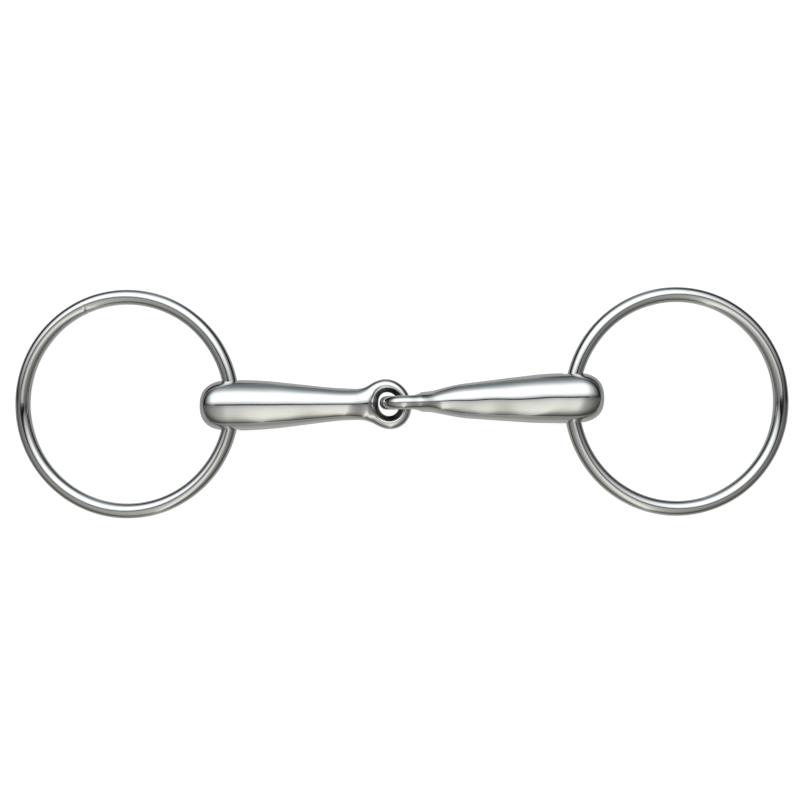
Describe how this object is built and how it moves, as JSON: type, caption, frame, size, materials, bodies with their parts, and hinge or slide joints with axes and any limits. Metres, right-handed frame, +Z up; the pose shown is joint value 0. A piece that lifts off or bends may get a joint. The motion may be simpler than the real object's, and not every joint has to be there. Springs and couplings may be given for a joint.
{
  "type": "snaffle bit",
  "caption": "Loose-ring snaffle bit: a hollow, tapered, single-jointed steel mouthpiece whose halves link by closed eyes, with a round ring running through each end.",
  "frame": {"origin": "on the surface the bit lies on, under the middle of the two rings' outline", "axes": "+X along the mouthpiece towards the right ring, +Y along the ring holes, +Z up from the surface"},
  "size_m": [0.2858, 0.085, 0.0183],
  "materials": {
    "polished_steel": "mirror-polished stainless steel, smooth all over, with faint polishing lines and a few hairline marks"
  },
  "bodies": {
    "left_half": {"left_shell": "polished_steel", "left_eye": "polished_steel"},
    "right_half": {"right_shell": "polished_steel", "right_eye": "polished_steel"},
    "left_bush": {"left_ring_bush": "polished_steel"},
    "left_ring": {"left_ring": "polished_steel"},
    "right_bush": {"right_ring_bush": "polished_steel"},
    "right_ring": {"right_ring": "polished_steel"}
  },
  "joints": [
    {"name": "mouthpiece_fold", "type": "hinge", "parent": "left_half", "child": "right_half", "pos_m": [-0.00578, -0.00051, 0.00915], "axis": [0, 0, 1], "range_deg": [-120, 120]},
    {"name": "left_ring_swing", "type": "hinge", "parent": "left_half", "child": "left_bush", "pos_m": [-0.06248, -0.00096, 0.00915], "axis": [-0.0079, 1, 0], "range_deg": [0, 160]},
    {"name": "left_ring_run", "type": "hinge", "parent": "left_bush", "child": "left_ring", "pos_m": [-0.10106, -0.00049, 0.00597], "axis": [-0.0821, -0.0006, 0.9966], "continuous": true},
    {"name": "right_ring_swing", "type": "hinge", "parent": "right_half", "child": "right_bush", "pos_m": [0.0625, 0.0018, 0.00915], "axis": [-0.027, 0.9996, 0], "range_deg": [-160, 0]},
    {"name": "right_ring_run", "type": "hinge", "parent": "right_bush", "child": "right_ring", "pos_m": [0.10106, 0.00048, 0.00597], "axis": [0.0821, 0.0022, 0.9966], "continuous": true}
  ]
}
